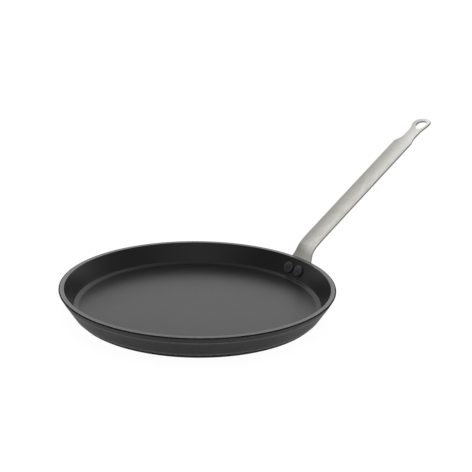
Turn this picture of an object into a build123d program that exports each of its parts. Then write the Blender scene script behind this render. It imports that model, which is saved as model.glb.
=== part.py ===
from build123d import *
from math import acos, asin, atan, cos, degrees, radians, sin, sqrt, tan
import os

# Crepe pan: a turned pan with a low flared wall, a cupped strip handle and two rivets.
# Millimetres. The pan's axis is Z, it stands on z = 0, and the handle leaves along +X.

# Pan: outer form
RIM_D = 300.0            # outer diameter across the rim
PAN_H = 28.0             # height from the base to the rim
RIM_LAND = 5.65          # width of the flat ring on top of the wall
LIP_H = 6.8              # height of the band under the rim
LIP_IN = 3.2             # how far that band draws in from the rim
WALL_OUT_DEG = 32.3      # outer wall's lean from the vertical, below the band
FOOT_BREAK_H = 4.0       # height of the bevel under the outer wall
FOOT_BREAK_W = 3.9       # how far that bevel draws in to the base
RIM_OUT_BREAK = 0.6      # chamfer of the rim's outer edge
RIM_IN_BREAK = 0.8       # chamfer of the rim's inner edge

# Pan: inside
FLOOR_T = 5.0            # thickness of the cooking floor
WALL_IN_DEG = 23.6       # inner wall's lean from the vertical
RING_W = 5.0             # width of the sloped ring between the floor and the inner wall
RING_RISE = 1.5          # how far that ring rises towards the wall

# Handle strip
STRIP_W = 27.2           # width of the strip
STRIP_T = 2.5            # thickness of the sheet
CUP = 3.0                # how deep the strip is cupped along its grip
RISE_DEG = 34.85         # slope of the grip over the table
ROOT_DEG = 62.0          # slope of the short root between foot and grip
TIP_DROP_DEG = 3.7       # how far the grip's line turns down towards its end
ROOT_BEND_Z = 26.0       # height where the foot's line turns into the root
GRIP_BEND_Z = 39.3       # height where the root turns into the grip
GRIP_L = 190.0           # from the grip's bend to the shoulders of the neck
ROOT_BEND_R = 20.0       # bend between foot and root
GRIP_BEND_R = 14.0       # bend between root and grip
TIP_BEND_R = 700.0       # long easing bend at the handle's end
CUP_RUN = 46.0           # length over which the cup fades in above the bend
LOFT_STEPS = 3           # spans between the sections of each loft

# Handle foot, pressed against the wall
FOOT_W = 38.0            # width at the rivets
FOOT_LOW_Z = 7.0         # lowest point of the foot on the wall
FOOT_CORNER_R = 9.0      # rounding of the foot's two lower corners
FOOT_SINK = 0.4          # stock left on the foot's face, trimmed off by the wall's cone
FLARE_SHARE = 0.55       # where the foot starts to draw in, as a share of its length
FLARE_END_SHARE = 1.6    # where that drawing in ends, past the foot, as a share of the same length

# Neck and hanging eye, lengths along the strip from the shoulders
SHOULDER_LEAD = 5.0      # straight strip kept in front of the shoulders
NECK_W = 18.2            # width of the neck
SHOULDER_RUN = 10.2      # length of the sloped shoulders
SHOULDER_R = 7.0         # rounding where the strip starts to narrow
NECK_R = 20.0            # hollow rounding from the shoulders into the neck
EYE_D = 24.7             # outer diameter of the eye
EYE_RING = 5.2           # width of metal around the far half of the hole
EYE_PLACE = 37.4         # from the shoulders to the eye's middle
EYE_BLEND_R = 25.0       # hollow rounding between the neck and the eye
KNEE_SHARE = 0.5         # where the easing bend's corner lies between shoulders and eye
HOLE_TAIL_D = 9.0        # diameter of the hole's narrow end
HOLE_TAIL_RUN = 3.6      # from the eye's middle to the middle of the hole's narrow end

# Rivets
RIVET_Z = 16.0           # height of the rivets on the inner wall
RIVET_PITCH = 17.0       # distance between the two rivets
SHANK_D = 6.0            # diameter of a rivet's shank
SHANK_CLEAR = 0.1        # gap between the shank and its holes, all round
HEAD_D = 13.4            # diameter of the low domed head in the pan
HEAD_SKIRT = 1.6         # straight skirt under that dome
HEAD_H = 2.9             # height of that head over the wall, at its middle
TAIL_D = 12.0            # diameter of the formed head behind the foot
TAIL_BREAK = 1.2         # bevel around the formed head's crown
TAIL_H = 2.4             # height of the formed head over the foot
SEAT_STOCK = 1.0         # stock under each head, trimmed off by the surface that it seats on

OVERRUN = 20.0           # how far cutting bodies reach past what they cut

# Worked-out places of the pan
rim_r = RIM_D / 2
rim_corner_r = rim_r + RIM_OUT_BREAK * sin(atan(LIP_IN / LIP_H))
lip_r = rim_r - LIP_IN
lip_z = PAN_H - LIP_H
wall_out_tan = tan(radians(WALL_OUT_DEG))
wall_in_tan = tan(radians(WALL_IN_DEG))
base_r = lip_r - lip_z * wall_out_tan
foot_r = base_r + FOOT_BREAK_H * wall_out_tan
land_r = rim_r - RIM_LAND
floor_r = land_r - (PAN_H - FLOOR_T) * wall_in_tan
ring_r = floor_r + RING_RISE * wall_in_tan


def outer_wall_x(z):
    """Radius of the outer wall's cone at height z, also where it is prolonged past the band."""
    return base_r + z * wall_out_tan


def inner_wall_x(z):
    """Radius of the inner wall's cone at height z."""
    return floor_r + (z - FLOOR_T) * wall_in_tan


def nearest_corner(sketch, x, z):
    """The corner of a flat profile that lies nearest to a place in the XZ plane."""
    return sketch.vertices().sort_by_distance((x, 0, z))[0]


def pan_profile():
    """Half section of the pan: base, bevel, flared wall, band, rim land, inner wall, ring and floor."""
    outline = Polyline((0, 0), (foot_r - FOOT_BREAK_W, 0), (foot_r, FOOT_BREAK_H), (lip_r, lip_z),
                       (rim_corner_r, PAN_H), (land_r, PAN_H), (ring_r, FLOOR_T + RING_RISE),
                       (ring_r - RING_W, FLOOR_T), (0, FLOOR_T), close=True)
    profile = Plane.XZ * make_face(outline)
    profile = chamfer(nearest_corner(profile, rim_corner_r, PAN_H), RIM_OUT_BREAK)
    return chamfer(nearest_corner(profile, land_r, PAN_H), RIM_IN_BREAK)


def pan_blank():
    """The turned pan before its rivet holes are drilled."""
    return revolve(pan_profile(), Axis.Z)


def side_corners():
    """Corners of the handle's side line in the XZ plane, on the middle of the strip's upper face."""
    rise = radians(RISE_DEG)
    end_slope = radians(RISE_DEG - TIP_DROP_DEG)
    low = Vector(outer_wall_x(FOOT_LOW_Z), 0, FOOT_LOW_Z)
    turn = Vector(outer_wall_x(ROOT_BEND_Z), 0, ROOT_BEND_Z)
    bend = turn + Vector((GRIP_BEND_Z - ROOT_BEND_Z) / tan(radians(ROOT_DEG)), 0, GRIP_BEND_Z - ROOT_BEND_Z)
    knee = bend + Vector(cos(rise), 0, sin(rise)) * (GRIP_L + EYE_PLACE * KNEE_SHARE)
    tip_run = EYE_PLACE * (1 - KNEE_SHARE) + EYE_D / 2
    tip = knee + Vector(cos(end_slope), 0, sin(end_slope)) * tip_run
    return low, turn, bend, knee, tip


def strip_section(plane, width, cup, sink=0.0):
    """Cross-section of the sheet: two arcs about one middle, cupped by the given depth."""
    half = width / 2
    top_r = (half * half + cup * cup) / (2 * cup)
    low_r = top_r + STRIP_T
    low_edge = top_r - sqrt(low_r * low_r - half * half)
    top = ThreePointArc((-half, cup + sink), (0, sink), (half, cup + sink))
    low = ThreePointArc((half, low_edge), (0, -STRIP_T), (-half, low_edge))
    right = Line((half, cup + sink), (half, low_edge))
    left = Line((-half, low_edge), (-half, cup + sink))
    return plane * make_face([top, right, low, left])


def station(line, run):
    """Plane across the strip, x across and y out of the upper face, at a run along a line."""
    share = run / line.length
    return Plane(origin=line @ share, x_dir=(0, 1, 0), z_dir=line % share)


def smooth(share):
    """Smooth step from 0 to 1."""
    share = min(max(share, 0.0), 1.0)
    return share * share * (3 - 2 * share)


def foot_plan(line, length):
    """Body that rounds the two lower corners of the foot, seen square to its face."""
    start = station(line, 0)
    plan_plane = Plane(origin=start.origin, x_dir=start.z_dir, z_dir=start.y_dir)
    half = FOOT_W / 2
    reach = length + FOOT_CORNER_R
    outline = FilletPolyline((reach, -half), (0, -half), (0, half), (reach, half), radius=FOOT_CORNER_R)
    plan = make_face([*outline.edges(), Line((reach, half), (reach, -half))])
    return extrude(plan_plane * plan, OVERRUN, both=True)


def root_pieces(line):
    """Foot, root, bend and start of the grip, each a loft over evenly spaced sections of the sheet."""
    foot_run, turn_run, root_run, bend_run = [edge.length for edge in line.edges()[:4]]
    foot_end = foot_run
    root_end = foot_end + turn_run + root_run
    bend_end = root_end + bend_run
    cup_end = bend_end + CUP_RUN
    pieces = []
    for start, end in ((0.0, foot_end), (foot_end, root_end), (root_end, bend_end), (bend_end, cup_end)):
        sections = []
        for step in range(LOFT_STEPS + 1):
            run = start + (end - start) * step / LOFT_STEPS
            flare = smooth((run / foot_end - FLARE_SHARE) / (FLARE_END_SHARE - FLARE_SHARE))
            width = FOOT_W + (STRIP_W - FOOT_W) * flare
            lean = radians(WALL_OUT_DEG)
            cone_r = outer_wall_x(FOOT_LOW_Z + min(run, foot_end) * cos(lean)) / cos(lean)
            wall_cup = cone_r - sqrt(cone_r * cone_r - width * width / 4)
            cup = wall_cup + (CUP - wall_cup) * smooth((run - foot_end) / (cup_end - foot_end))
            sink = FOOT_SINK * (1 - flare)
            sections.append(strip_section(station(line, run), width, cup, sink))
        pieces.append(loft(sections))
    foot = pieces[0] & foot_plan(line, foot_end)
    return [foot, *pieces[1:]], cup_end


def eye_hole():
    """Drop-shaped outline of the hanging hole: two circles and the lines that touch both."""
    hole_r = EYE_D / 2 - EYE_RING
    tail_r = HOLE_TAIL_D / 2
    lean = acos((hole_r - tail_r) / HOLE_TAIL_RUN)
    out = Vector(-cos(lean), sin(lean))
    down = Vector(-cos(lean), -sin(lean))
    tail = Vector(-HOLE_TAIL_RUN, 0)
    wide = ThreePointArc(down * hole_r, (hole_r, 0), out * hole_r)
    narrow = ThreePointArc(tail + out * tail_r, tail - Vector(tail_r, 0), tail + down * tail_r)
    flanks = [Line(out * hole_r, tail + out * tail_r), Line(tail + down * tail_r, down * hole_r)]
    return make_face([wide, flanks[0], narrow, flanks[1]])


def end_outline():
    """Plan of the strip's end from the shoulders on: neck, eye and its drop-shaped hole."""
    half = STRIP_W / 2
    neck = NECK_W / 2
    eye_r = EYE_D / 2
    blend_back = sqrt((eye_r + EYE_BLEND_R) ** 2 - (neck + EYE_BLEND_R) ** 2)
    eye = Vector(EYE_PLACE, 0)
    blend = Vector(EYE_PLACE - blend_back, neck + EYE_BLEND_R)
    neck_end = Vector(blend.X, neck)
    to_eye = (eye - blend).normalized()
    eye_start = blend + to_eye * EYE_BLEND_R
    halfway = (to_eye + Vector(0, -1)).normalized()
    side = FilletPolyline((-SHOULDER_LEAD, half), (0, half), (SHOULDER_RUN, neck), neck_end,
                          radius=[SHOULDER_R, NECK_R])
    hollow = ThreePointArc(neck_end, blend + halfway * EYE_BLEND_R, eye_start)
    over = (eye_start - eye).normalized() + Vector(1, 0)
    loop = ThreePointArc(eye_start, eye + over.normalized() * eye_r, (EYE_PLACE + eye_r, 0))
    near = Curve() + [side, hollow, loop]
    start = Line((-SHOULDER_LEAD, -half), (-SHOULDER_LEAD, half))
    plan = make_face([*near.edges(), *mirror(near, Plane.XZ).edges(), start])
    return plan - Pos(EYE_PLACE) * eye_hole()


def handle_end(start_plane, end_line):
    """Neck and hanging eye, stamped out of the cupped strip."""
    strip = sweep(strip_section(start_plane, STRIP_W, CUP), path=end_line)
    along = start_plane.z_dir
    plan_plane = Plane(origin=start_plane.origin + along * SHOULDER_LEAD, x_dir=along, z_dir=start_plane.y_dir)
    return strip & extrude(plan_plane * end_outline(), OVERRUN, both=True)


def handle_blank():
    """The whole handle before its foot is trimmed to the wall and drilled."""
    low, turn, bend, knee, tip = side_corners()
    line = FilletPolyline(low, turn, bend, knee, tip, radius=[ROOT_BEND_R, GRIP_BEND_R, TIP_BEND_R])
    pieces, cup_end = root_pieces(line)
    along = (knee - bend).normalized()
    lead_point = bend + along * (GRIP_L - SHOULDER_LEAD)
    cup_plane = station(line, cup_end)
    grip = extrude(strip_section(cup_plane, STRIP_W, CUP), (lead_point - cup_plane.origin).length)
    past_tip = tip + (tip - knee).normalized() * SHOULDER_LEAD
    end_line = FilletPolyline(lead_point, knee, past_tip, radius=TIP_BEND_R)
    end_plane = Plane(origin=lead_point, x_dir=(0, 1, 0), z_dir=along)
    return pieces[0] + pieces[1:] + grip + handle_end(end_plane, end_line)


def wall_cone():
    """Everything inside the outer wall's cone, prolonged upwards past the rim."""
    top = PAN_H + OVERRUN
    outline = Polyline((0, 0), (outer_wall_x(0), 0), (outer_wall_x(top), top), (0, top), close=True)
    return revolve(Plane.XZ * make_face(outline), Axis.Z)


def turned(plane, turn_deg):
    """A plane turned about the pan's axis."""
    return Plane(Rot(Z=turn_deg) * plane.location)


def rivet_seats(turn_deg):
    """Seats of one rivet: on the inner wall, facing into the pan, and on the foot, facing out."""
    lean_in = radians(WALL_IN_DEG)
    lean_out = radians(WALL_OUT_DEG)
    wall_x = inner_wall_x(RIVET_Z)
    foot_x = outer_wall_x(RIVET_Z) + STRIP_T / cos(lean_out)
    depth = (foot_x - wall_x) / (cos(lean_in) + sin(lean_in) * wall_out_tan)
    inner = Plane(origin=(wall_x, 0, RIVET_Z), x_dir=(0, 1, 0), z_dir=(-cos(lean_in), 0, sin(lean_in)))
    far = inner.origin - inner.z_dir * depth
    outer = Plane(origin=far, x_dir=(0, 1, 0), z_dir=(cos(lean_out), 0, -sin(lean_out)))
    return turned(inner, turn_deg), turned(outer, turn_deg), depth


def dome(diameter, skirt, height):
    """Low domed head: a short skirt, a spherical cap, and stock below the seat to be trimmed."""
    half = diameter / 2
    rise = height - skirt
    cap_r = (half * half + rise * rise) / (2 * rise)
    low = (Align.CENTER, Align.CENTER, Align.MIN)
    post = Pos(0, 0, -SEAT_STOCK) * Cylinder(half, SEAT_STOCK + height, align=low)
    return post & Pos(0, 0, height - cap_r) * Sphere(cap_r)


def button(diameter, crown_break, height):
    """Flat head formed by the rivet tool: a disc with a chamfered crown, and stock below its seat."""
    low = (Align.CENTER, Align.CENTER, Align.MIN)
    disc = Pos(0, 0, -SEAT_STOCK) * Cylinder(diameter / 2, SEAT_STOCK + height, align=low)
    return chamfer(disc.edges().sort_by(Axis.Z)[-1], crown_break)


def rod(plane, diameter, length):
    """Round bar that starts on a plane and runs down from it."""
    high = (Align.CENTER, Align.CENTER, Align.MAX)
    return plane.location * Cylinder(diameter / 2, length, align=high)


def rivet_hole(turn_deg):
    """Drill for one rivet, through the wall and the foot."""
    inner, outer, depth = rivet_seats(turn_deg)
    above = Plane(origin=inner.origin + inner.z_dir * SHANK_D, x_dir=inner.x_dir, z_dir=inner.z_dir)
    return rod(above, SHANK_D + 2 * SHANK_CLEAR, depth + 2 * SHANK_D)


def rivet(turn_deg, pan_wall, foot):
    """One rivet: domed head in the pan, shank, and formed head behind the foot."""
    inner, outer, depth = rivet_seats(turn_deg)
    head = inner.location * dome(HEAD_D, HEAD_SKIRT, HEAD_H) - pan_wall
    tail = outer.location * button(TAIL_D, TAIL_BREAK, TAIL_H) - foot
    start = Plane(origin=inner.origin + inner.z_dir * HEAD_SKIRT, x_dir=inner.x_dir, z_dir=inner.z_dir)
    shank = rod(start, SHANK_D, depth + HEAD_SKIRT + TAIL_H - TAIL_BREAK)
    return head + shank + tail


rivet_turn = degrees(asin(RIVET_PITCH / 2 / inner_wall_x(RIVET_Z)))
turns = {"rivet_left": rivet_turn, "rivet_right": -rivet_turn}
blank_pan = pan_blank()
blank_handle = handle_blank() - wall_cone()
holes = [rivet_hole(turn) for turn in turns.values()]
nodes = {"pan_body": blank_pan - holes, "handle": blank_handle - holes}
for name, turn in turns.items():
    nodes[name] = rivet(turn, blank_pan, blank_handle)

os.makedirs("parts", exist_ok=True)
for name, shape in nodes.items():
    print(name, len(shape.solids()), "solid", round(shape.volume, 1), "mm3, valid", shape.is_valid)
    export_step(shape, f"parts/{name}.step")
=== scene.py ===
from math import acos, atan2, cos, pi, radians, sin, sqrt, tan

import bpy
import numpy as np
from bpy.props import FloatProperty, FloatVectorProperty, IntProperty, PointerProperty
from bpy.types import Operator, Panel, PropertyGroup
from mathutils import Matrix, Vector


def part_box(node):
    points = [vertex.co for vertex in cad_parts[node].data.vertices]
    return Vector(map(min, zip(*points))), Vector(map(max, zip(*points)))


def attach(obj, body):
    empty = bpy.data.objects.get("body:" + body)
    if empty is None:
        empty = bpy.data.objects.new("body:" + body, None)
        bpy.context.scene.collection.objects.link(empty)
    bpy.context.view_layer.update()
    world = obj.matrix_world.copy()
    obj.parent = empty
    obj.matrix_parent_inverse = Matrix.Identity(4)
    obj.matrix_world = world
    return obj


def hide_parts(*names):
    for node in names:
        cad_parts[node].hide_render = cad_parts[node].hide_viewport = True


bl_info = {
    "name": "Crepe Pan",
    "version": (1, 0, 0),
    "blender": (4, 5, 0),
    "location": "View3D > Sidebar > Crepe Pan",
    "description": "Surfaces, finishes and studio of a crepe pan with a riveted strip handle",
    "category": "Object",
}

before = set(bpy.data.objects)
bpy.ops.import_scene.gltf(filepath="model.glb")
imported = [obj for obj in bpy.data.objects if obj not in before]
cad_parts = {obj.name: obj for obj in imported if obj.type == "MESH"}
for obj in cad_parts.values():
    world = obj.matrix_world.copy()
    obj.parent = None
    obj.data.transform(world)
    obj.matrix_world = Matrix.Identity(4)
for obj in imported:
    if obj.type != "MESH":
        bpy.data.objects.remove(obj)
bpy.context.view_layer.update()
pan_low, pan_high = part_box("pan_body")

BODY = "root"
WHITE = (1.0, 1.0, 1.0, 1.0)

# Painted highlight lines on the pan's creases and rim edges: the edge each follows, how far past it, width and
# strength.
RUBBED_AND_HIGHLIGHT_LINES = (("foot", 0.0008, 0.0008, 1.0), ("lip", 0.0, 0.0006, 0.8),
          ("dull", 0.0009, 0.0006, 0.5), ("land", -0.0003, 0.0005, 0.35))
# Step at which the place on a line nearest to a given one is looked for.
PLACE_STEP = 0.0001
# Distances from each of the pan's edges at which its profile has further points.
EDGE_STEPS = np.array([-0.9, -0.6, -0.3, 0.0, 0.3, 0.6, 0.9, 1.4]) / 1000


def length(name, description, default, **more):
    """A size property in metres."""
    return FloatProperty(name=name, description=description, default=default, min=0.0, unit="LENGTH",
                         subtype="DISTANCE", precision=5, **more)


def angle(name, description, degrees):
    """An angle property, kept in radians."""
    return FloatProperty(name=name, description=description, default=radians(degrees), unit="ROTATION",
                         subtype="ANGLE")


def share(name, description, default, high=1.0):
    """A plain number between nought and a highest value."""
    return FloatProperty(name=name, description=description, default=default, min=0.0, max=high,
                         subtype="FACTOR")


def colour(name, description, default):
    """A linear colour property."""
    return FloatVectorProperty(name=name, description=description, default=default, size=3, min=0.0,
                               max=1.0, subtype="COLOR")


class PanSizes(PropertyGroup):
    """Sizes of the turned pan."""
    rim_d: length("Rim diameter", "Outer diameter across the rim", pan_high.y - pan_low.y)
    height: length("Height", "From the base to the rim", pan_high.z - pan_low.z)
    rim_land: length("Rim land", "Width of the flat ring on top of the wall", 0.00565)
    lip_h: length("Band height", "Height of the band under the rim", 0.0068)
    lip_in: length("Band draw", "How far the band draws in from the rim", 0.0032)
    wall_out: angle("Outer wall lean", "Lean of the outer wall from the vertical", 32.3)
    foot_h: length("Foot bevel height", "Height of the bevel under the outer wall", 0.004)
    foot_w: length("Foot bevel width", "How far the bevel draws in to the base", 0.0039)
    floor_t: length("Floor thickness", "Thickness of the cooking floor", 0.005)
    wall_in: angle("Inner wall lean", "Lean of the inner wall from the vertical", 23.6)
    ring_w: length("Ring width", "Width of the sloped ring round the floor", 0.005)
    ring_rise: length("Ring rise", "How far that ring rises towards the wall", 0.0015)
    rim_out_r: length("Rim outer rounding", "Rounding of the rim's outer edge", 0.0008)
    # The two dull rings, at the rim's outer edge and at the band's top, take the dark base finish as painted
    # shade.
    rim_shade_ring: length("Dull rim edge", "Width of the dull ring at the land's outer edge", 0.0013)
    band_shade_ring: length("Dull band edge", "Height of the dull ring at the top of the band", 0.0010)
    rim_in_r: length("Rim inner rounding", "Rounding of the rim's inner edge", 0.0006)
    crease_r: length("Crease rounding", "Rounding of the turned creases", 0.0005)
    line_w: length("Rim line width", "Width of the fine turned line on the rim land", 0.0009)
    line_d: length("Rim line depth", "Depth of that line", 0.00018)
    step: length("Profile step", "Longest straight step of the profile", 0.0045)
    sides: IntProperty(name="Sides", description="Steps around the pan", default=360, min=24, max=1024)


class HandleSizes(PropertyGroup):
    """Sizes of the strip handle."""
    strip_w: length("Strip width", "Width of the strip along the grip", 0.0272)
    strip_t: length("Strip thickness", "Thickness of the sheet", 0.0025)
    cup: length("Cup depth", "How deep the strip is cupped along the grip", 0.003)
    rise: angle("Rise", "Slope of the grip over the table", 34.85)
    root: angle("Root slope", "Slope of the short root between foot and grip", 62.0)
    tip_drop: angle("Tip drop", "How far the grip turns down towards its end", 3.7)
    root_z: length("Root height", "Height where the foot's line turns into the root", 0.026)
    grip_z: length("Grip height", "Height where the root turns into the grip", 0.0393)
    grip_l: length("Grip length", "From the grip's bend to the shoulders of the neck", 0.190)
    root_bend_r: length("Root bend", "Bend between foot and root", 0.020)
    grip_bend_r: length("Grip bend", "Bend between root and grip", 0.024)
    tip_bend_r: length("Tip bend", "Long easing bend at the handle's end", 0.700)
    cup_run: length("Cup run", "Length over which the cup fades in above the bend", 0.014)
    edge_r: length("Edge rounding", "Rounding of all the strip's edges", 0.0006)
    root_rows: length("Root rows", "Length past the foot with the closest rows of points", 0.024)
    grip_rows: length("Grip rows", "Length after that with closer rows than the rest of the grip", 0.050)
    foot_w: length("Foot width", "Width of the foot at the rivets", 0.038)
    foot_z: length("Foot height", "Lowest point of the foot on the wall", 0.007)
    foot_r: length("Foot corners", "Rounding of the foot's two lower corners", 0.009)
    flare: share("Foot flare", "Where the foot starts to draw in, as a share of its length", 0.55)
    flare_end: share("Flare end", "Where that drawing in ends, as a share of the foot's length", 1.6, 3.0)
    neck_w: length("Neck width", "Width of the neck", 0.0182)
    shoulder_run: length("Shoulder length", "Length of the sloped shoulders", 0.0102)
    shoulder_r: length("Shoulder rounding", "Rounding where the strip starts to narrow", 0.007)
    neck_r: length("Neck hollow", "Hollow rounding from the shoulders into the neck", 0.020)
    eye_d: length("Eye diameter", "Outer diameter of the hanging eye", 0.0247)
    eye_ring: length("Eye ring", "Width of metal around the far half of the hole", 0.0052)
    eye_place: length("Eye place", "From the shoulders to the eye's middle", 0.0374)
    eye_blend_r: length("Eye hollow", "Hollow rounding between the neck and the eye", 0.025)
    knee: share("Knee", "Where the easing bend's corner lies between shoulders and eye", 0.5)
    tail_d: length("Hole's narrow end", "Diameter of the hole's narrow end", 0.009)
    tail_run: length("Hole's narrow place", "From the eye's middle to the middle of that end", 0.0036)


class RivetSizes(PropertyGroup):
    """Sizes of the two rivets."""
    seat_z: length("Rivet height", "Height of the rivets on the inner wall", 0.016)
    pitch: length("Rivet pitch", "Distance between the two rivets", 0.017)
    shank_d: length("Shank diameter", "Diameter of a rivet's shank", 0.006)
    head_d: length("Head diameter", "Diameter of the low head in the pan", 0.0134)
    head_h: length("Head height", "Height of that head over the wall", 0.0026)
    crown: length("Head crown", "Rise of that head's face towards its middle", 0.00035)
    shoulder_r: length("Head shoulder", "Rounding around that head's face", 0.0012)
    tail_d: length("Formed head diameter", "Diameter of the head behind the foot", 0.012)
    tail_bevel: length("Formed head bevel", "Bevel around that head's crown", 0.0012)
    tail_h: length("Formed head height", "Height of that head over the foot", 0.0024)
    # Painted highlight on the head's shoulder, in the colour of rubbed coat.
    rub_and_highlight: share("Shoulder rub", "How far the coat is rubbed on that head's shoulder", 0.25)
    sink: length("Seat depth", "How far the heads are let into their seats", 0.0003)
    sides: IntProperty(name="Sides", description="Steps around a rivet", default=64, min=12, max=256)


class Finishes(PropertyGroup):
    """Colours and grain of the finishes."""
    coat: colour("Coating", "Colour of the non-stick coating", (0.018, 0.018, 0.0188))
    coat_light: colour("Coating, light", "Lighter grain of the coating", (0.028, 0.028, 0.029))
    # Pale colour of the painted highlight lines on the pan's creases, rim edges and rivet shoulders, looking
    # like rubbed coat.
    coat_worn_and_sheen: colour("Coating, worn", "Coating where edges are rubbed", (0.20, 0.197, 0.19))
    steel: colour("Steel", "Colour of the handle's steel", (0.58, 0.572, 0.535))
    steel_dark: colour("Steel, dark", "Darker cloud in the steel", (0.47, 0.462, 0.415))
    steel_cool: colour("Steel, cool", "Steel towards the hanging eye", (0.585, 0.581, 0.562))
    # Lighter colour painted along the strip's rounded edges as a highlight.
    steel_edge_highlight: colour("Steel edge", "Steel at its rubbed edges", (0.68, 0.675, 0.63))
    # Dark colour of the sheared sides: partly their own finish, partly painted shade.
    steel_cut_and_shade: colour("Steel, cut side", "Sheared and tumbled sides of the strip", (0.26, 0.255, 0.235))
    rivet: colour("Rivet metal", "Bare aluminium of the formed heads", (0.66, 0.66, 0.65))


class Studio(PropertyGroup):
    """Camera, floor and light."""
    lens: FloatProperty(name="Lens", description="Focal length on a 36 mm sensor", default=72.65, min=10.0,
                        unit="CAMERA")
    distance: length("Camera distance", "From the camera to the pan's middle", 1.050)
    stand: length("Aim height", "Height of the point that the camera is measured from", 0.0006)
    azimuth: angle("Azimuth", "Heading from the camera to the pan", 36.0)
    elevation: angle("Elevation", "Height of the camera over the table, as an angle", 21.78)
    yaw: angle("Yaw", "How far the camera looks past the pan's middle", 2.3489)
    pitch: angle("Pitch", "How far the camera looks down", 17.511)
    roll: angle("Roll", "Tilt of the picture", 1.3523)
    key_turn: angle("Key heading", "Heading of the key light, right of the way to the pan", 30.0)
    key_lift: angle("Key height", "Height of the key light over the table, as an angle", 50.0)
    key_level: share("Key level", "Brightness of the key light", 1.32, 4.0)
    left_turn: angle("Left heading", "Heading of the left backlight", -40.0)
    left_lift: angle("Left height", "Height of the left backlight", 15.0)
    left_level: share("Left level", "Brightness of the left backlight", 0.89, 4.0)
    right_turn: angle("Right heading", "Heading of the right backlight", 40.0)
    right_lift: angle("Right height", "Height of the right backlight", 15.0)
    right_level: share("Right level", "Brightness of the right backlight", 0.48, 4.0)
    fill_turn: angle("Fill heading", "Heading of the fill light, behind the camera", 180.0)
    fill_lift: angle("Fill height", "Height of the fill light", 15.0)
    fill_level: share("Fill level", "Brightness of the fill light", 1.04, 4.0)
    softness: share("Light gathering", "How much each soft light gathers about its middle", 6.0, 20.0)
    floor: colour("Floor", "Colour of the floor", (0.80, 0.80, 0.80))
    glow: share("Floor white", "White that the floor adds for the lens and for reflections", 0.96)
    shade: share("Floor shade", "Share of the floor's own light and shade that is seen", 0.10)


def rounded(corners, radii, steps):
    """Line through flat corners, with a tangent arc in place of each inner corner.

    An arc's middle lies on the corner's bisector, at the radius over the sine of half the corner's
    angle, and the arc turns evenly from one side of the corner to the other.
    """
    corners = np.asarray(corners, float)
    parts = [corners[:1]]
    for before, corner, after, radius in zip(corners, corners[1:], corners[2:], radii):
        a = (before - corner) / np.linalg.norm(before - corner)
        b = (after - corner) / np.linalg.norm(after - corner)
        half = acos(max(-1.0, min(1.0, float(a @ b)))) / 2
        middle = corner + (a + b) / np.linalg.norm(a + b) * radius / sin(half)
        first = corner + a * radius / tan(half) - middle
        turn = (pi - 2 * half) * (1.0 if a[0] * b[1] - a[1] * b[0] < 0 else -1.0)
        t = np.linspace(0.0, turn, steps + 1)
        parts.append(middle + np.stack([first[0] * np.cos(t) - first[1] * np.sin(t),
                                        first[0] * np.sin(t) + first[1] * np.cos(t)], 1))
    parts.append(corners[-1:])
    return np.concatenate(parts)


def refined(line, longest):
    """The same line with its long runs cut into equal steps no longer than the given length."""
    spans = np.linalg.norm(np.diff(line, axis=0), axis=1)
    counts = np.maximum(1, np.ceil(spans / longest)).astype(int)
    keep = np.repeat(np.arange(len(spans)), counts)
    inside = np.arange(len(keep)) - np.repeat(np.cumsum(counts) - counts, counts)
    points = line[keep] + (line[keep + 1] - line[keep]) * (inside / counts[keep])[:, None]
    return np.concatenate([points, line[-1:]])


def along(line):
    """Distance along a line at each of its points."""
    return np.concatenate([[0.0], np.cumsum(np.linalg.norm(np.diff(line, axis=0), axis=1))])


def marked(line, places, offsets):
    """The same line with further points at the given offsets around some places on it.

    Returns the line's points, the distance along it of each point, and the distance of each place.
    """
    fine = refined(line, PLACE_STEP)
    run, fine_run = along(line), along(fine)
    marks = np.array([fine_run[np.argmin(np.linalg.norm(fine - np.array(p), axis=1))] for p in places])
    near = (marks[:, None] + offsets).ravel()
    runs = np.union1d(run, near[(near > 0) & (near < run[-1])])
    runs = runs[np.concatenate([[True], np.diff(runs) > 1e-6])]
    return np.stack([np.interp(runs, run, line[:, 0]), np.interp(runs, run, line[:, 1])], 1), runs, marks


def new_piece(name, points, faces, materials, kinds=None, values=None, uv=None):
    """Mesh object at the origin, with its materials, float values per point and a UV place per point."""
    mesh = bpy.data.meshes.new(name)
    mesh.from_pydata(points.tolist(), [], faces)
    for material in materials:
        mesh.materials.append(material)
    if kinds is not None:
        mesh.polygons.foreach_set("material_index", np.asarray(kinds, np.int32))
    mesh.polygons.foreach_set("use_smooth", np.full(len(mesh.polygons), True))
    for label, numbers in (values or {}).items():
        layer = mesh.attributes.new(label, "FLOAT", "POINT")
        layer.data.foreach_set("value", np.asarray(numbers, np.float32))
    if uv is not None:
        corners = np.zeros(len(mesh.loops), np.int32)
        mesh.loops.foreach_get("vertex_index", corners)
        layer = mesh.uv_layers.new(name="strip")
        layer.data.foreach_set("uv", np.asarray(uv, np.float32)[corners].ravel())
    mesh.validate()
    mesh.update()
    piece = bpy.data.objects.new(name, mesh)
    bpy.context.scene.collection.objects.link(piece)
    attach(piece, BODY)
    return piece


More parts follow.
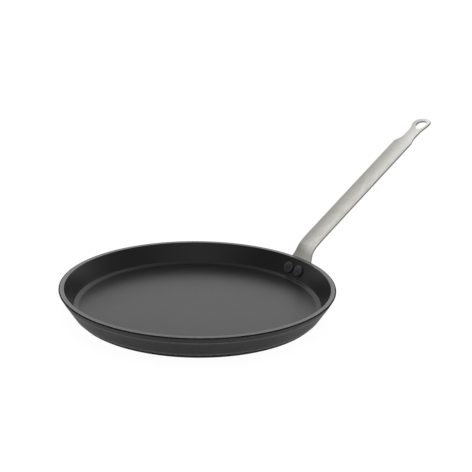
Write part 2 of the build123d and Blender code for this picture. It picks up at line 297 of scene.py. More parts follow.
def turned(profile, sides):
    """Closed surface turned about the Z axis from a profile of radius and height.

    A point is (radius cos a, radius sin a, height) for angles a around the circle. The profile starts
    and ends on the axis, where a single point closes it, and it runs with the solid on its left.
    Returns the points, the faces, and each point's place along the profile.
    """
    inner = profile[1:-1]
    a = np.linspace(0.0, 2 * pi, sides, endpoint=False)
    rings = np.stack([inner[:, :1] * np.cos(a), inner[:, :1] * np.sin(a),
                      np.repeat(inner[:, 1:], sides, axis=1)], 2).reshape(-1, 3)
    poles = np.array([[0.0, 0.0, profile[0, 1]], [0.0, 0.0, profile[-1, 1]]])
    grid = np.arange(len(inner) * sides).reshape(len(inner), sides)
    beside = np.roll(grid, -1, axis=1)
    quads = np.stack([grid[:-1], beside[:-1], beside[1:], grid[1:]], 2).reshape(-1, 4)
    start = len(rings)
    low = np.stack([np.full(sides, start), beside[0], grid[0]], 1)
    high = np.stack([np.full(sides, start + 1), grid[-1], beside[-1]], 1)
    rows = np.concatenate([np.repeat(np.arange(1, len(profile) - 1), sides), [0, len(profile) - 1]])
    return np.concatenate([rings, poles]), quads.tolist() + low.tolist() + high.tolist(), rows


def add(tree, kind, sockets=None, **settings):
    """Adds a shader node. Sockets are given by name or number, as a value or as another node's output."""
    node = tree.nodes.new(kind)
    for key, value in settings.items():
        setattr(node, key, value)
    for key, value in (sockets or {}).items():
        if isinstance(value, bpy.types.NodeSocket):
            tree.links.new(value, node.inputs[key])
        else:
            node.inputs[key].default_value = value
    return node


def noise(tree, place, scale, detail=3.0, roughness=0.55):
    """Output of a noise pattern over the given coordinates, scale in patches per metre."""
    return add(tree, "ShaderNodeTexNoise", {"Vector": place, "Scale": scale, "Detail": detail,
                                            "Roughness": roughness}).outputs["Fac"]


def span(tree, value, low, high, to_low, to_high, smooth=False):
    """A value carried from one range to another."""
    kind = "SMOOTHSTEP" if smooth else "LINEAR"
    return add(tree, "ShaderNodeMapRange", {"Value": value, "From Min": low, "From Max": high,
                                            "To Min": to_low, "To Max": to_high},
               interpolation_type=kind).outputs["Result"]


def blended(tree, amount, first, second):
    """Mix of two colours, each given as a colour or as an output."""
    def full(c):
        return c if isinstance(c, bpy.types.NodeSocket) else (*c, 1.0)
    mix = add(tree, "ShaderNodeMix", {0: amount, 6: full(first), 7: full(second)}, data_type="RGBA")
    return mix.outputs[2]


def summed(tree, kind, first, second):
    """Arithmetic on two numbers or outputs."""
    return add(tree, "ShaderNodeMath", {0: first, 1: second}, operation=kind).outputs[0]


def surface(name, sockets):
    """New material with a principled surface, and its node tree."""
    material = bpy.data.materials.new(name)
    material.use_nodes = True
    tree = material.node_tree
    shader = next(n for n in tree.nodes if n.type == "BSDF_PRINCIPLED")
    for key, value in sockets.items():
        shader.inputs[key].default_value = value
    return material, tree, shader


def coated(name, level, rough, shade, bump_share):
    """One of the pan's black coats: fine grain, faint clouds, and painted highlights, pale like rubbed coat,
    along marked lines.

    The level is the strength of its reflection, rough the range of its roughness, and shade scales its
    two colours.
    """
    look = bpy.context.scene.crepe_finishes
    material, tree, shader = surface(name, {"IOR": 1.5, "Specular IOR Level": level})
    place = add(tree, "ShaderNodeTexCoord").outputs["Object"]
    grain = noise(tree, place, 1900.0, 2.0, 0.6)
    cloud = noise(tree, place, 60.0, 4.0, 0.55)
    wear = add(tree, "ShaderNodeAttribute", attribute_name="wear").outputs["Fac"]
    # Painted highlight amount: the marked lines, broken up by a noise.
    rub_and_highlight = summed(tree, "MULTIPLY", wear, span(tree, noise(tree, place, 420.0), 0.35, 0.65, 0.55, 1.0))
    dark, light = (tuple(shade * c for c in colour_of) for colour_of in (look.coat, look.coat_light))
    tone = blended(tree, span(tree, grain, 0.3, 0.7, 0.0, 1.0), dark, light)
    tree.links.new(blended(tree, rub_and_highlight, tone, tuple(look.coat_worn_and_sheen)), shader.inputs["Base Color"])
    tree.links.new(span(tree, cloud, 0.3, 0.7, *rough), shader.inputs["Roughness"])
    height = summed(tree, "ADD", grain, summed(tree, "MULTIPLY", noise(tree, place, 600.0), 0.6))
    bump = add(tree, "ShaderNodeBump", {"Strength": bump_share, "Distance": 0.0002, "Height": height})
    tree.links.new(bump.outputs["Normal"], shader.inputs["Normal"])
    return material


def coating():
    """Satin non-stick coat of the cooking side."""
    return coated("nonstick_coating", level=0.20, rough=(0.275, 0.295), shade=0.77, bump_share=0.015)


def rim_coating():
    """Smoother coat on the turned rim land."""
    return coated("rim_coating", level=0.50, rough=(0.26, 0.31), shade=1.0, bump_share=0.03)


def rivet_coating():
    """Coat on the rivet heads in the pan, a little paler than the wall around them."""
    return coated("rivet_coating", level=0.22, rough=(0.28, 0.33), shade=1.1, bump_share=0.10)


def outside_coating():
    """Matt coat of the outer wall and band."""
    return coated("outside_coating", level=0.12, rough=(0.50, 0.58), shade=1.85, bump_share=0.06)


def bare_base():
    """Matt dark finish of the base; on its bevel and the rim's outermost edge the same dark is painted shade.
    Faint scuffs.
    """
    look = bpy.context.scene.crepe_finishes
    material, tree, shader = surface("bare_base", {"IOR": 1.12, "Specular IOR Level": 0.5})
    place = add(tree, "ShaderNodeTexCoord").outputs["Object"]
    scuff = noise(tree, place, 260.0, 4.0, 0.6)
    # Colour far darker than the coat: the base's matt finish, and painted shade on the bevel and rim edge.
    dark = tuple(0.35 * c for c in look.coat)
    tree.links.new(blended(tree, span(tree, scuff, 0.35, 0.65, 0.0, 1.0), dark, tuple(look.coat)),
                   shader.inputs["Base Color"])
    tree.links.new(span(tree, scuff, 0.3, 0.7, 0.60, 0.75), shader.inputs["Roughness"])
    bump = add(tree, "ShaderNodeBump", {"Strength": 0.15, "Distance": 0.0002, "Height": scuff})
    tree.links.new(bump.outputs["Normal"], shader.inputs["Normal"])
    return material


def steel():
    """Satin handle steel: warm grey and cooler towards the eye, with a mottled grain, painted highlights on
    its rounded edges and painted shade on its sheared sides.

    The strip's UV places are lengths in metres, so its first coordinate is the run from the foot.
    """
    look = bpy.context.scene.crepe_finishes
    material, tree, shader = surface("satin_steel", {"Metallic": 1.0})
    strip = add(tree, "ShaderNodeUVMap", uv_map="strip").outputs["UV"]
    drawn = add(tree, "ShaderNodeMapping", {"Vector": strip, "Scale": (0.45, 1.0, 1.0)}).outputs["Vector"]
    grain = noise(tree, drawn, 1500.0, 3.0, 0.65)
    cloud = noise(tree, drawn, 170.0, 4.0, 0.6)
    wear = add(tree, "ShaderNodeAttribute", attribute_name="wear").outputs["Fac"]
    both = summed(tree, "ADD", summed(tree, "MULTIPLY", grain, 0.5), summed(tree, "MULTIPLY", cloud, 0.5))
    tone = blended(tree, span(tree, both, 0.36, 0.62, 0.0, 1.0), tuple(look.steel_dark), tuple(look.steel))
    run = add(tree, "ShaderNodeSeparateXYZ", {0: strip}).outputs["X"]
    tone = blended(tree, span(tree, run, 0.15, 0.25, 0.0, 0.7, smooth=True), tone, tuple(look.steel_cool))
    # Rounded edges are painted lighter as a highlight; sheared sides take a dark colour that is partly their
    # finish and partly painted shade.
    cut = add(tree, "ShaderNodeAttribute", attribute_name="cut").outputs["Fac"]
    faces = blended(tree, wear, tone, tuple(look.steel_edge_highlight))
    tree.links.new(blended(tree, cut, faces, tuple(look.steel_cut_and_shade)), shader.inputs["Base Color"])
    rough = span(tree, both, 0.35, 0.65, 0.39, 0.31)
    tree.links.new(summed(tree, "ADD", rough, summed(tree, "MULTIPLY", cut, 0.12)), shader.inputs["Roughness"])
    bump = add(tree, "ShaderNodeBump", {"Strength": 0.22, "Distance": 0.0002, "Height": grain})
    tree.links.new(bump.outputs["Normal"], shader.inputs["Normal"])
    return material


def rivet_metal():
    """Bare aluminium of the formed rivet heads: dull, with fine hammer marks."""
    look = bpy.context.scene.crepe_finishes
    material, tree, shader = surface("rivet_aluminium", {"Metallic": 1.0})
    place = add(tree, "ShaderNodeTexCoord").outputs["Object"]
    marks = noise(tree, place, 700.0, 3.0, 0.5)
    dark = tuple(0.8 * c for c in look.rivet)
    tree.links.new(blended(tree, span(tree, marks, 0.35, 0.65, 0.0, 1.0), dark, tuple(look.rivet)),
                   shader.inputs["Base Color"])
    tree.links.new(span(tree, marks, 0.35, 0.65, 0.48, 0.34), shader.inputs["Roughness"])
    bump = add(tree, "ShaderNodeBump", {"Strength": 0.25, "Distance": 0.0003, "Height": marks})
    tree.links.new(bump.outputs["Normal"], shader.inputs["Normal"])
    return material


def finish_of(name, make):
    """The named material, made once and then shared by the pieces."""
    return bpy.data.materials.get(name) or make()


class CREPEPAN_OT_pan_body(Operator):
    """Turn the pan body with its floor, sloped ring, walls, band and rim"""
    bl_idname = "crepepan.pan_body"
    bl_label = "Pan Body"

    def execute(self, context):
        p = context.scene.crepe_pan
        rim = p.rim_d / 2
        out_tan, in_tan = tan(p.wall_out), tan(p.wall_in)
        lip = rim - p.lip_in
        lip_z = p.height - p.lip_h
        foot = lip - (lip_z - p.foot_h) * out_tan
        land = rim - p.rim_land
        ring = land - (p.height - p.floor_t - p.ring_rise) * in_tan
        middle = rim - p.rim_land / 2
        lean = atan2(p.lip_in, p.lip_h)
        corner = rim + p.rim_out_r * ((1 + sin(lean)) / cos(lean) - 1)
        corners = [(0, 0), (foot - p.foot_w, 0), (foot, p.foot_h), (lip, lip_z), (corner, p.height),
                   (middle + p.line_w / 2, p.height), (middle, p.height - p.line_d),
                   (middle - p.line_w / 2, p.height), (land, p.height), (ring, p.floor_t + p.ring_rise),
                   (ring - p.ring_w, p.floor_t), (0, p.floor_t)]
        crease = p.crease_r
        radii = [crease, crease, crease, p.rim_out_r, crease, crease, crease, p.rim_in_r,
                 crease * 4, crease * 8]
        edges = {"foot": (foot, p.foot_h), "lip": (lip, lip_z),
                 "band": (rim - p.band_shade_ring * tan(lean), p.height - p.band_shade_ring),
                 "dull": (rim - p.rim_shade_ring, p.height), "land": (land, p.height)}
        outline = refined(rounded(corners, radii, 6), p.step)
        profile, run, marks = marked(outline, edges.values(), EDGE_STEPS)
        points, faces, rows = turned(profile, p.sides)
        mark = dict(zip(edges, marks))
        # Painted highlight lines, each a soft band across the profile.
        wear = np.zeros(len(profile))
        for edge, past, width, strength in RUBBED_AND_HIGHLIGHT_LINES:
            wear = np.maximum(wear, strength * np.exp(-((run - (mark[edge] + past)) / width) ** 2))
        # Zones along the profile: base with its bevel, outer wall, band top with rim's outer edge, rim land,
        # cooking side. The bevel and the third zone are painted dark as shade.
        borders = [mark[edge] for edge in ("foot", "band", "dull", "land")]
        zones = np.searchsorted(borders, (run[:-1] + run[1:]) / 2)
        finishes = [finish_of("bare_base", bare_base), finish_of("outside_coating", outside_coating),
                    finish_of("bare_base", bare_base), finish_of("rim_coating", rim_coating),
                    finish_of("nonstick_coating", coating)]
        kinds = np.concatenate([np.repeat(zones[1:-1], p.sides), np.repeat(zones[:1], p.sides),
                                np.repeat(zones[-1:], p.sides)])
        piece = new_piece("pan_body_turned", points, faces, finishes, kinds=kinds,
                          values={"wear": wear[rows]})
        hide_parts("pan_body")
        return {"FINISHED"}


def side_line(h, pan):
    """Side line of the handle: straight runs joined by tangent arcs, in the XZ plane.

    Returns the runs at which its pieces start, and a function from runs to places and headings. Along
    a piece the heading turns evenly, so a place is the start plus the chord of that turn.
    """
    out_tan = tan(pan.wall_out)
    lip_r = pan.rim_d / 2 - pan.lip_in
    lip_z = pan.height - pan.lip_h

    def wall(z):
        return np.array([lip_r + (z - lip_z) * out_tan, z])

    low, turn = wall(h.foot_z), wall(h.root_z)
    bend = turn + np.array([(h.grip_z - h.root_z) / tan(h.root), h.grip_z - h.root_z])
    knee = bend + np.array([cos(h.rise), sin(h.rise)]) * (h.grip_l + h.eye_place * h.knee)
    end = h.rise - h.tip_drop
    tip = knee + np.array([cos(end), sin(end)]) * (h.eye_place * (1 - h.knee) + h.eye_d / 2)
    corners = np.array([low, turn, bend, knee, tip])
    steps = np.diff(corners, axis=0)
    spans = np.linalg.norm(steps, axis=1)
    heads = np.arctan2(steps[:, 1], steps[:, 0])
    turns = np.diff(heads)
    radii = np.array([h.root_bend_r, h.grip_bend_r, h.tip_bend_r])
    cuts = radii * np.tan(np.abs(turns) / 2)
    straight = spans - np.concatenate([[0.0], cuts]) - np.concatenate([cuts, [0.0]])
    lengths = np.zeros(7)
    lengths[0::2] = straight
    lengths[1::2] = radii * np.abs(turns)
    bends = np.zeros(7)
    bends[1::2] = np.sign(turns) / radii
    starts = np.concatenate([[0.0], np.cumsum(lengths)])
    begin_heads = np.zeros(7)
    begin_heads[0::2] = heads
    begin_heads[1::2] = heads[:-1]

    def chord(run, head, bend):
        """Place reached from the start of a piece: the run along the middle of its turn."""
        half = bend * run / 2
        reach = run * np.sinc(half / pi)
        return np.stack([reach * np.cos(head + half), reach * np.sin(head + half)], -1)

    places = np.concatenate([[low], low + np.cumsum(chord(lengths, begin_heads, bends), axis=0)])

    def at(run):
        piece = np.clip(np.searchsorted(starts, run, side="right") - 1, 0, 6)
        inside = run - starts[piece]
        head = begin_heads[piece] + bends[piece] * inside
        return places[piece] + chord(inside, begin_heads[piece], bends[piece]), head

    return starts, cuts, at


def smooth_step(t):
    """Smooth step from 0 to 1 over the same range."""
    t = np.clip(t, 0.0, 1.0)
    return t * t * (3 - 2 * t)


def arc(middle, radius, first, last, count):
    """Places and outward directions along an arc of a circle, without its last one."""
    t = np.linspace(first, last, count, endpoint=False)
    out = np.stack([np.cos(t), np.sin(t)], 1)
    return np.asarray(middle) + radius * out, out


def strip_edge(h, foot_end, shoulders):
    """Half outline of the flat strip, from the foot's lower edge to where the eye's circle takes over.

    Returns places (run, half width) and the outward direction at each. The foot's corner, the shoulder
    and the hollows beside the neck are arcs that touch each other or straight runs.
    """
    half, neck, eye_r = h.strip_w / 2, h.neck_w / 2, h.eye_d / 2
    foot_half = h.foot_w / 2
    places, outs = [], []

    def put(where, out):
        places.append(where)
        outs.append(out)

    put(*arc((h.foot_r, foot_half - h.foot_r), h.foot_r, pi, pi / 2, 14))
    drawn_end = foot_end * h.flare_end
    run = np.linspace(h.foot_r, drawn_end, 30, endpoint=False)
    t = np.clip((run / foot_end - h.flare) / (h.flare_end - h.flare), 0.0, 1.0)
    draw = half - foot_half
    slope = draw * 6 * t * (1 - t) / (foot_end * (h.flare_end - h.flare))
    out = np.stack([-slope, np.ones_like(slope)], 1) / np.sqrt(1 + slope ** 2)[:, None]
    put(np.stack([run, foot_half + draw * smooth_step(t)], 1), out)

    lean = atan2(half - neck, h.shoulder_run)
    shoulder_cut = h.shoulder_r * tan(lean / 2)
    neck_cut = h.neck_r * tan(lean / 2)
    root_top = foot_end + h.root_rows
    grip_low = root_top + h.grip_rows
    runs = np.concatenate([np.linspace(drawn_end, root_top, 12, endpoint=False),
                           np.linspace(root_top, grip_low, 20, endpoint=False),
                           np.linspace(grip_low, shoulders - shoulder_cut, 36, endpoint=False)])
    put(np.stack([runs, np.full_like(runs, half)], 1), np.tile([0.0, 1.0], (len(runs), 1)))
    put(*arc((shoulders - shoulder_cut, half - h.shoulder_r), h.shoulder_r, pi / 2, pi / 2 - lean, 8))
    way = np.array([cos(lean), -sin(lean)])
    out = np.array([sin(lean), cos(lean)])
    first = np.array([shoulders, half]) + way * shoulder_cut
    last = np.array([shoulders + h.shoulder_run, neck]) - way * neck_cut
    t = np.linspace(0.0, 1.0, 4, endpoint=False)[:, None]
    put(first + (last - first) * t, np.tile(out, (4, 1)))
    middle = (shoulders + h.shoulder_run + neck_cut, neck + h.neck_r)
    where, inward = arc(middle, h.neck_r, -pi / 2 - lean, -pi / 2, 8)
    put(where, -inward)
    eye = shoulders + h.eye_place
    back = sqrt((eye_r + h.eye_blend_r) ** 2 - (neck + h.eye_blend_r) ** 2)
    run = np.linspace(middle[0], eye - back, 5, endpoint=False)
    put(np.stack([run, np.full_like(run, neck)], 1), np.tile([0.0, 1.0], (len(run), 1)))
    blend = np.array([eye - back, neck + h.eye_blend_r])
    reach = atan2(-blend[1], back)
    straight_rows = sum(len(w) for w in places)
    where, inward = arc(blend, h.eye_blend_r, -pi / 2, reach, 10)
    put(where, -inward)
    last_place = blend + h.eye_blend_r * np.array([cos(reach), sin(reach)])
    put(last_place[None], -np.array([[cos(reach), sin(reach)]]))
    return np.concatenate(places), np.concatenate(outs), straight_rows, eye


def hole_reach(h, way, grow):
    """Distance from the eye's middle to the hole's edge for directions all round.

    The drop-shaped hole is two circles and the two lines that touch both: the wide circle about the
    eye's middle, the narrow one towards the neck. A line's distance is the wide radius over the cosine
    of the angle from the direction in which it is touched. Growing adds to both radii.
    """
    wide = h.eye_d / 2 - h.eye_ring + grow
    narrow = h.tail_d / 2 + grow
    touch = pi - acos((wide - narrow) / h.tail_run)
    side = np.abs((way + pi) % (2 * pi) - pi)
    line = wide / np.cos(np.minimum(side - touch, 1.2))
    corner = atan2(narrow * sin(touch), narrow * cos(touch) - h.tail_run)
    along = -h.tail_run * np.cos(side)
    tail = along + np.sqrt(np.maximum(along ** 2 - h.tail_run ** 2 + narrow ** 2, 0.0))
    return np.where(side <= touch, wide, np.where(side <= corner, line, tail))


class CREPEPAN_OT_handle(Operator):
    """Press the strip handle with its foot, bend, cupped grip, neck and hanging eye"""
    bl_idname = "crepepan.handle"
    bl_label = "Strip Handle"

    def execute(self, context):
        h, pan = context.scene.crepe_handle, context.scene.crepe_pan
        starts, cuts, line_at = side_line(h, pan)
        foot_end = starts[1]
        bend_end = starts[4]
        shoulders = bend_end + h.grip_l - cuts[1]
        cup_end = bend_end + h.cup_run
        edge, out, straight_rows, eye = strip_edge(h, foot_end, shoulders)
        across, free, ring_rows = 24, 44, 6
        v = np.linspace(-1.0, 1.0, across + 1)
        eye_r = h.eye_d / 2
        opening = atan2(edge[-1, 1], edge[-1, 0] - eye)
        turn = pi - opening
        free_way = np.linspace(opening, -opening, free + 1)[1:-1]
        rows = len(edge)

        def plan(inset):
            """Flat grid of the strip, its outline drawn in by the given length.

            Rows run straight across and bend into the eye's circle over the last hollow. The ring
            about the hole runs from that circle to the hole's edge, along straight spokes.
            """
            side = edge - out * inset
            t = np.clip((np.arange(rows) - straight_rows) / (rows - 1 - straight_rows), 0.0, 1.0)[:, None]
            near = edge[straight_rows, 0]
            mid = near + (eye - eye_r + inset - near) * t
            bow = (1 - np.cos(turn * v)) / (1 - cos(turn))
            run = np.where(t > 0, mid + (side[:, :1] - mid) * bow, side[:, :1])
            y = side[:, 1:] * ((1 - t) * v + t * np.sin(turn * v) / sin(turn))
            body = np.stack([run, y], 2)
            way = np.concatenate([np.arctan2(y[-1], run[-1] - eye), free_way])
            outer = np.full_like(way, eye_r - inset)
            hole = hole_reach(h, way, inset)
            k = np.linspace(0.0, 1.0, ring_rows + 1)[:, None]
            reach = outer + (hole - outer) * k
            ring = np.stack([eye + reach * np.cos(way), reach * np.sin(way)], 2)
            return body, ring

        cone = 1.0 / cos(pan.wall_out)
        wall_r = pan.rim_d / 2 - pan.lip_in - (pan.height - pan.lip_h) * tan(pan.wall_out)

        def pressed(flat, depth):
            """Places in space of flat places and depths under the upper face.

            The side line carries the strip. Across it the upper face is an arc whose depth at the
            strip's edge is the cup: the wall's own curve on the foot, easing into the grip's cup. The
            lower face is an arc about the same middle.
            """
            run, y = flat[..., 0], flat[..., 1]
            place, head = line_at(run)
            drawn = smooth_step((run / foot_end - h.flare) / (h.flare_end - h.flare))
            half = (h.foot_w + (h.strip_w - h.foot_w) * drawn) / 2
            z = h.foot_z + np.minimum(run, foot_end) * cos(pan.wall_out)
            cone_r = (wall_r + z * tan(pan.wall_out)) * cone
            wall_cup = cone_r - np.sqrt(cone_r ** 2 - half ** 2)
            cup = wall_cup + (h.cup - wall_cup) * smooth_step((run - foot_end) / (cup_end - foot_end))
            top_r = (half ** 2 + cup ** 2) / (2 * cup)
            y_in = np.clip(y, -half * 1.02, half * 1.02)
            up = top_r - np.sqrt(top_r ** 2 - y_in ** 2)
            thick = np.sqrt((top_r + h.strip_t) ** 2 - y_in ** 2) - np.sqrt(top_r ** 2 - y_in ** 2)
            down = depth if depth <= h.strip_t / 2 else thick - (h.strip_t - depth)
            lift = up - down
            return np.stack([place[..., 0] - np.sin(head) * lift, y, place[..., 1] + np.cos(head) * lift], -1)

        body_index = np.arange(rows * (across + 1)).reshape(rows, across + 1)
        spokes = across + free
        ring_index = np.zeros((ring_rows + 1, spokes), int)
        ring_index[0, :across + 1] = body_index[-1]
        count = rows * (across + 1)
        ring_index[0, across + 1:] = count + np.arange(free - 1)
        count += free - 1
        ring_index[1:] = count + np.arange(ring_rows * spokes).reshape(ring_rows, spokes)
        count += ring_rows * spokes
        outer_loop = np.concatenate([body_index[0, ::-1], body_index[1:, 0], ring_index[0, across + 1:][::-1],
                                     body_index[1:, -1][::-1]])
        hole_loop = ring_index[-1]

        def sheet_points(inset):
            """All flat places of one face of the sheet, in the order of their indices."""
            body, ring = plan(inset)
            body[0, :, 0] = inset
            return np.concatenate([body.reshape(-1, 2), ring[0, across + 1:], ring[1:].reshape(-1, 2)])

        steps = 4
        bow = np.linspace(0.0, pi / 2, steps + 1)
        insets = h.edge_r * (1 - np.sin(bow))
        drops = h.edge_r * (1 - np.cos(bow))
        levels = [(i, d) for i, d in zip(insets, drops)]
        levels += [(i, h.strip_t - d) for i, d in zip(insets[::-1], drops[::-1])]
        face_flat = sheet_points(h.edge_r)
        points = [pressed(face_flat, 0.0), pressed(face_flat, h.strip_t)]
        flats = [face_flat, face_flat]
        # Painted highlight along the strip's edges: half on the faces' outer rows, full on the roundings.
        wear = [np.zeros(count), np.zeros(count)]
        cut = [np.zeros(count), np.zeros(count)]
        for w in wear:
            w[outer_loop] = 0.5
            w[hole_loop] = 0.5
        loops = [np.concatenate([outer_loop, hole_loop])]
        total = 2 * count
        for inset, depth in levels[1:-1]:
            flat = sheet_points(inset)[np.concatenate([outer_loop, hole_loop])]
            points.append(pressed(flat, depth))
            flats.append(flat + [0.0, depth])
            sheared = abs(depth - h.strip_t / 2) < h.strip_t / 2 - h.edge_r * 0.6
            wear.append(np.full(len(flat), 0.0 if sheared else 1.0))
            cut.append(np.full(len(flat), 1.0 if sheared else 0.0))
            loops.append(total + np.arange(len(flat)))
            total += len(flat)
        loops.append(count + loops[0])

        body_faces = np.stack([body_index[:-1, :-1], body_index[1:, :-1], body_index[1:, 1:],
                               body_index[:-1, 1:]], 2).reshape(-1, 4)
        beside = np.roll(ring_index, -1, axis=1)
        ring_faces = np.stack([ring_index[:-1], ring_index[1:], beside[1:], beside[:-1]], 2).reshape(-1, 4)
        top = np.concatenate([body_faces, ring_faces])
        faces = [top, top[:, ::-1] + count]
        n = len(outer_loop)
        for upper, lower in zip(loops, loops[1:]):
            for part in (slice(0, n), slice(n, None)):
                a, b = upper[part], lower[part]
                faces.append(np.stack([a, b, np.roll(b, -1), np.roll(a, -1)], 1))
        piece = new_piece("strip_handle", np.concatenate(points), np.concatenate(faces).tolist(),
                          [finish_of("satin_steel", steel)],
                          values={"wear": np.concatenate(wear), "cut": np.concatenate(cut)},
                          uv=np.concatenate(flats))
        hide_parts("handle")
        return {"FINISHED"}


def placed(points, origin, out):
    """Points turned from the Z axis to another axis in the XZ plane, and moved to its origin."""
    out = np.asarray(out, float)
    x = np.array([0.0, 1.0, 0.0])
    y = np.cross(out, x)
    return np.asarray(origin) + points @ np.stack([x, y, out])


def spun(points, turn):
    """Points turned about the pan's axis."""
    c, s = cos(turn), sin(turn)
    return points @ np.array([[c, s, 0.0], [-s, c, 0.0], [0.0, 0.0, 1.0]])


class CREPEPAN_OT_rivets(Operator):
    """Set the two rivets: coated low heads in the pan and bare formed heads behind the foot"""
    bl_idname = "crepepan.rivets"
    bl_label = "Rivets"

    def execute(self, context):
        r, pan, h = context.scene.crepe_rivets, context.scene.crepe_pan, context.scene.crepe_handle
        land = pan.rim_d / 2 - pan.rim_land
        wall_in = land - (pan.height - r.seat_z) * tan(pan.wall_in)
        lip_z = pan.height - pan.lip_h
        wall_out = pan.rim_d / 2 - pan.lip_in + (r.seat_z - lip_z) * tan(pan.wall_out)
        foot_x = wall_out + h.strip_t / cos(pan.wall_out)
        depth = (foot_x - wall_in) / (cos(pan.wall_in) + sin(pan.wall_in) * tan(pan.wall_out))
        inner_out = np.array([-cos(pan.wall_in), 0.0, sin(pan.wall_in)])
        inner_at = np.array([wall_in, 0.0, r.seat_z])
        outer_at = inner_at - inner_out * depth
        outer_out = np.array([cos(pan.wall_out), 0.0, -sin(pan.wall_out)])

        half = r.head_d / 2
        shank = r.shank_d / 2
        head_line = np.concatenate([[(0.0, -depth), (shank, -depth), (shank, -r.sink)],
                                    rounded([(half, -r.sink), (half, r.head_h - r.crown), (0.0, r.head_h)],
                                            [r.shoulder_r], 8)])
        # Painted highlight on the head's shoulder.
        shoulder = np.where((head_line[:, 1] > r.head_h - r.crown - r.shoulder_r) &
                            (head_line[:, 0] > half - r.shoulder_r), r.rub_and_highlight, 0.0)
        tail = r.tail_d / 2
        tail_line = rounded([(0.0, -r.sink), (tail, -r.sink), (tail, r.tail_h - r.tail_bevel),
                             (tail - r.tail_bevel, r.tail_h), (0.0, r.tail_h)],
                            [0.0001, 0.0006, 0.0006], 4)
        turn = np.arcsin(r.pitch / 2 / wall_in)
        materials = [finish_of("rivet_coating", rivet_coating), finish_of("rivet_aluminium", rivet_metal)]
        for name, way in (("rivet_left", turn), ("rivet_right", -turn)):
            head_points, head_faces, head_rows = turned(head_line, r.sides)
            tail_points, tail_faces, _ = turned(tail_line, r.sides)
            tail_faces = [[i + len(head_points) for i in face] for face in tail_faces]
            points = np.concatenate([placed(head_points, inner_at, inner_out),
                                     placed(tail_points, outer_at, outer_out)])
            kinds = [0] * len(head_faces) + [1] * len(tail_faces)
            wear = np.concatenate([shoulder[head_rows], np.zeros(len(tail_points))])
            piece = new_piece(name + "_set", spun(points, way), head_faces + tail_faces, materials,
                              kinds=kinds, values={"wear": wear})
            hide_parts(name)
        return {"FINISHED"}


def studio_floor(stage):
    """Pale floor: takes soft shadows, shows white to the lens and to glossy rays, clear from below."""
    material = bpy.data.materials.new("pale_floor")
    material.use_nodes = True
    tree = material.node_tree
    tree.nodes.clear()
    path = add(tree, "ShaderNodeLightPath")
    seen = summed(tree, "MAXIMUM", path.outputs["Is Camera Ray"],
                  summed(tree, "MAXIMUM", path.outputs["Is Glossy Ray"], path.outputs["Is Transmission Ray"]))
    plain = add(tree, "ShaderNodeBsdfDiffuse", {"Color": (*stage.floor, 1.0)})
    faint = add(tree, "ShaderNodeBsdfDiffuse", {"Color": (*(stage.shade * c for c in stage.floor), 1.0)})
    glow = add(tree, "ShaderNodeEmission", {"Color": WHITE, "Strength": stage.glow})
    both = add(tree, "ShaderNodeAddShader", {0: faint.outputs[0], 1: glow.outputs[0]})
    shown = add(tree, "ShaderNodeMixShader", {0: seen, 1: plain.outputs[0], 2: both.outputs[0]})
    below = add(tree, "ShaderNodeNewGeometry").outputs["Backfacing"]
    clear = add(tree, "ShaderNodeBsdfTransparent")
    final = add(tree, "ShaderNodeMixShader", {0: below, 1: shown.outputs[0], 2: clear.outputs[0]})
    tree.links.new(final.outputs[0], add(tree, "ShaderNodeOutputMaterial").inputs["Surface"])
    return material


def studio_sky(stage):
    """Surroundings of four wide soft lights, and white to the lens.

    A light's level falls off as ((1 + cos a) / 2) to a power, for the angle a from its middle, and the
    four levels add up.
    """
    world = bpy.data.worlds.new("studio")
    bpy.context.scene.world = world
    world.use_nodes = True
    tree = world.node_tree
    tree.nodes.clear()
    way = add(tree, "ShaderNodeTexCoord").outputs["Generated"]
    total = 0.0
    for light in ("key", "left", "right", "fill"):
        turn, lift, level = (getattr(stage, f"{light}_{part}") for part in ("turn", "lift", "level"))
        heading = stage.azimuth + turn
        middle = (sin(heading) * cos(lift), cos(heading) * cos(lift), sin(lift))
        near = add(tree, "ShaderNodeVectorMath", {0: way, 1: middle}, operation="DOT_PRODUCT").outputs["Value"]
        gathered = summed(tree, "POWER", span(tree, near, -1.0, 1.0, 0.0, 1.0), stage.softness)
        total = summed(tree, "ADD", summed(tree, "MULTIPLY", gathered, level), total)
    sky = add(tree, "ShaderNodeBackground", {"Color": WHITE, "Strength": total})
    white = add(tree, "ShaderNodeBackground", {"Color": WHITE, "Strength": 1.0})
    camera_ray = add(tree, "ShaderNodeLightPath").outputs["Is Camera Ray"]
    mix = add(tree, "ShaderNodeMixShader", {0: camera_ray, 1: sky.outputs[0], 2: white.outputs[0]})
    tree.links.new(mix.outputs[0], add(tree, "ShaderNodeOutputWorld").inputs["Surface"])


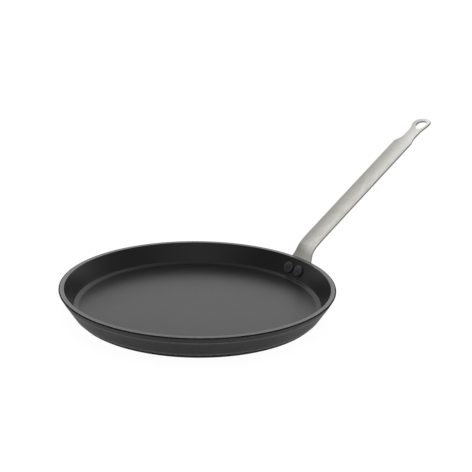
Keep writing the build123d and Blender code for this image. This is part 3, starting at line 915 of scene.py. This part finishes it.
class CREPEPAN_OT_stage(Operator):
    """Set up the pale floor, the soft light and the camera"""
    bl_idname = "crepepan.stage"
    bl_label = "Stage"

    def execute(self, context):
        s = context.scene.crepe_studio
        context.scene.view_settings.view_transform = "Standard"
        away = Vector((sin(s.azimuth), cos(s.azimuth), 0.0))
        studio_sky(s)

        reach = 30.0
        mesh = bpy.data.meshes.new("floor")
        mesh.from_pydata([(-reach, -reach, 0), (reach, -reach, 0), (reach, reach, 0), (-reach, reach, 0)], [],
                         [(0, 1, 2, 3)])
        mesh.materials.append(studio_floor(s))
        floor = bpy.data.objects.new("floor", mesh)
        context.scene.collection.objects.link(floor)

        camera_data = bpy.data.cameras.new("camera")
        camera_data.sensor_width = 36.0
        camera_data.lens = s.lens
        camera_data.clip_start, camera_data.clip_end = 0.01, 100.0
        camera = bpy.data.objects.new("camera", camera_data)
        heading = s.azimuth + s.yaw
        forward = Vector((sin(heading) * cos(s.pitch), cos(heading) * cos(s.pitch), -sin(s.pitch)))
        level = forward.cross(Vector((0.0, 0.0, 1.0))).normalized()
        above = level.cross(forward)
        right = level * cos(s.roll) + above * sin(s.roll)
        up = above * cos(s.roll) - level * sin(s.roll)
        eye_height = s.distance * sin(s.elevation) + s.stand
        place = -away * s.distance * cos(s.elevation) + Vector((0.0, 0.0, eye_height))
        camera.matrix_world = Matrix((
            (right.x, up.x, -forward.x, place.x),
            (right.y, up.y, -forward.y, place.y),
            (right.z, up.z, -forward.z, place.z),
            (0.0, 0.0, 0.0, 1.0),
        ))
        context.scene.collection.objects.link(camera)
        context.scene.camera = camera
        return {"FINISHED"}


class CREPEPAN_PT_sidebar(Panel):
    """Lists the pan's pieces and the stage"""
    bl_idname = "CREPEPAN_PT_sidebar"
    bl_label = "Crepe Pan"
    bl_space_type = "VIEW_3D"
    bl_region_type = "UI"
    bl_category = "Crepe Pan"

    def draw(self, context):
        for operator in OPERATORS:
            self.layout.operator(operator.bl_idname)


OPERATORS = (CREPEPAN_OT_pan_body, CREPEPAN_OT_handle, CREPEPAN_OT_rivets, CREPEPAN_OT_stage)
GROUPS = {"crepe_pan": PanSizes, "crepe_handle": HandleSizes, "crepe_rivets": RivetSizes,
          "crepe_finishes": Finishes, "crepe_studio": Studio}


def register():
    for kind in (*GROUPS.values(), *OPERATORS, CREPEPAN_PT_sidebar):
        bpy.utils.register_class(kind)
    for name, group in GROUPS.items():
        setattr(bpy.types.Scene, name, PointerProperty(type=group))


def unregister():
    for name in GROUPS:
        delattr(bpy.types.Scene, name)
    for kind in (CREPEPAN_PT_sidebar, *reversed(OPERATORS), *reversed(list(GROUPS.values()))):
        bpy.utils.unregister_class(kind)


def main():
    """Registers the classes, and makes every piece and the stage."""
    register()
    bpy.ops.crepepan.pan_body()
    bpy.ops.crepepan.handle()
    bpy.ops.crepepan.rivets()
    bpy.ops.crepepan.stage()


if __name__ == "__main__":
    main()
